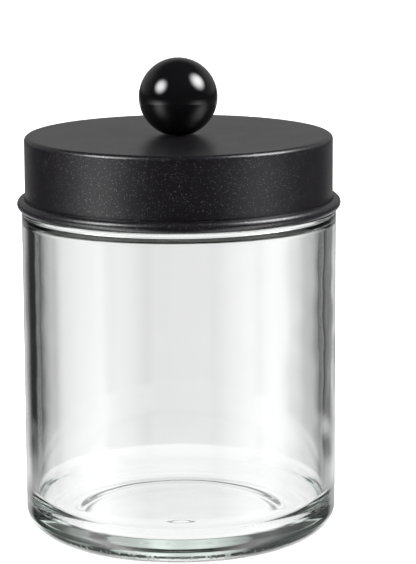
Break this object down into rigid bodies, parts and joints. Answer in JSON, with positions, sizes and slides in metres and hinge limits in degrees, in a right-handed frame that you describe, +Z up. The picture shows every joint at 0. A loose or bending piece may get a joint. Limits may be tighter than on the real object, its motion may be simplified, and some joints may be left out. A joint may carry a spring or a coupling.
{
  "type": "apothecary jar",
  "caption": "Clear glass storage jar with a lift-off pressed metal lid, rolled bead edge, inner liner and a screwed-on ball knob",
  "frame": {"origin": "centre of the base, on the surface the jar stands on", "axes": "+Z up along the jar's axis, -Y toward the front"},
  "size_m": [0.0766, 0.0766, 0.1143],
  "materials": {
    "clear_glass": "clear, polished",
    "lid_coating": "satin black coating with fine sparkle",
    "liner_plastic": "matte, natural white",
    "knob_plastic": "high gloss",
    "insert_brass": "machined",
    "screw_steel": "bright zinc plating",
    "washer_steel": "stamped, zinc plated"
  },
  "bodies": {
    "jar": {"glass_jar": "clear_glass"},
    "lid_seat": {"lid_liner": "liner_plastic"},
    "lid": {"lid_shell": "lid_coating", "knob_ball": "knob_plastic", "knob_insert": "insert_brass", "knob_screw": "screw_steel", "flat_washer": "washer_steel", "lock_washer": "washer_steel"}
  },
  "joints": [
    {"name": "lid_lift", "type": "slide", "parent": "jar", "child": "lid_seat", "axis": [0, 0, 1], "range_m": [0, 0.03]},
    {"name": "lid_turn", "type": "hinge", "parent": "lid_seat", "child": "lid", "pos_m": [0, 0, 0.0962], "axis": [0, 0, 1], "continuous": true}
  ]
}
